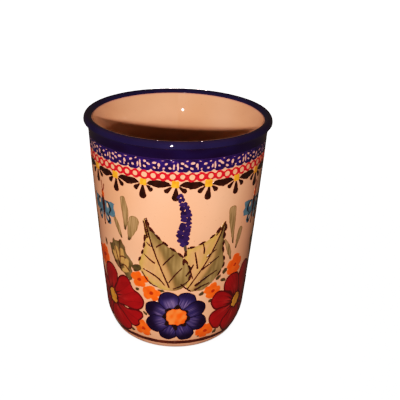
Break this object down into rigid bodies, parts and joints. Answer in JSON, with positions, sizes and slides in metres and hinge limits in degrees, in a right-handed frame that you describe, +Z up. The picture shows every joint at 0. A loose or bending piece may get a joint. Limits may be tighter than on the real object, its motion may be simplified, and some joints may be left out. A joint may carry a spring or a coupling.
{
  "type": "hand-painted stoneware mug",
  "caption": "Tapered stoneware mug without a handle, with a rolled cobalt lip, stamped bands, painted flowers, leaves and butterflies, and a bare foot ring.",
  "frame": {"origin": "centre of the foot ring, on the plane the mug stands on", "axes": "+Z up along the axis of the mug; -Y is the front, the middle of one painted bouquet; +X is to the right of a viewer who faces that front"},
  "size_m": [0.0814, 0.0814, 0.1022],
  "materials": {
    "bare_clay": "matt bare stoneware",
    "cream_glaze": "glossy transparent glaze over cream clay",
    "cobalt_glaze": "glossy cobalt glaze",
    "brown_black_paint": "brown-black underglaze line, glossy",
    "cobalt_paint": "stamped cobalt underglaze, glossy",
    "red_paint": "red underglaze, glossy",
    "yellow_paint": "yellow underglaze, glossy",
    "violet_paint": "brushed blue-violet underglaze, glossy",
    "dark_green_paint": "dark green underglaze, glossy",
    "light_leaf_paint": "thin ochre-green wash, glossy",
    "olive_paint": "brushed olive underglaze, glossy",
    "orange_paint": "orange underglaze, glossy",
    "turquoise_paint": "turquoise underglaze, glossy"
  },
  "bodies": {
    "root": {"clay_body": "bare_clay", "liner_glaze": "cream_glaze", "outer_glaze": "cream_glaze", "cobalt_rim": "cobalt_glaze", "base_glaze": "cream_glaze", "foot_line": "brown_black_paint", "stamp_band": "cobalt_paint", "ring_chain": "red_paint", "garland_petals": "brown_black_paint", "garland_dots": "yellow_paint", "lavender_spikes": "violet_paint", "lavender_stems": "dark_green_paint", "leaf_light_halves": "light_leaf_paint", "leaf_dark_halves": "olive_paint", "leaf_veins": "brown_black_paint", "blue_petals": "violet_paint", "blue_flower_centres": "orange_paint", "red_petals": "red_paint", "red_flower_centres": "yellow_paint", "blossom_petals": "orange_paint", "blossom_centres": "red_paint", "sprigs": "olive_paint", "side_leaves": "olive_paint", "bud_leaves": "dark_green_paint", "butterfly_wings": "turquoise_paint", "butterfly_bodies": "red_paint"}
  },
  "joints": []
}
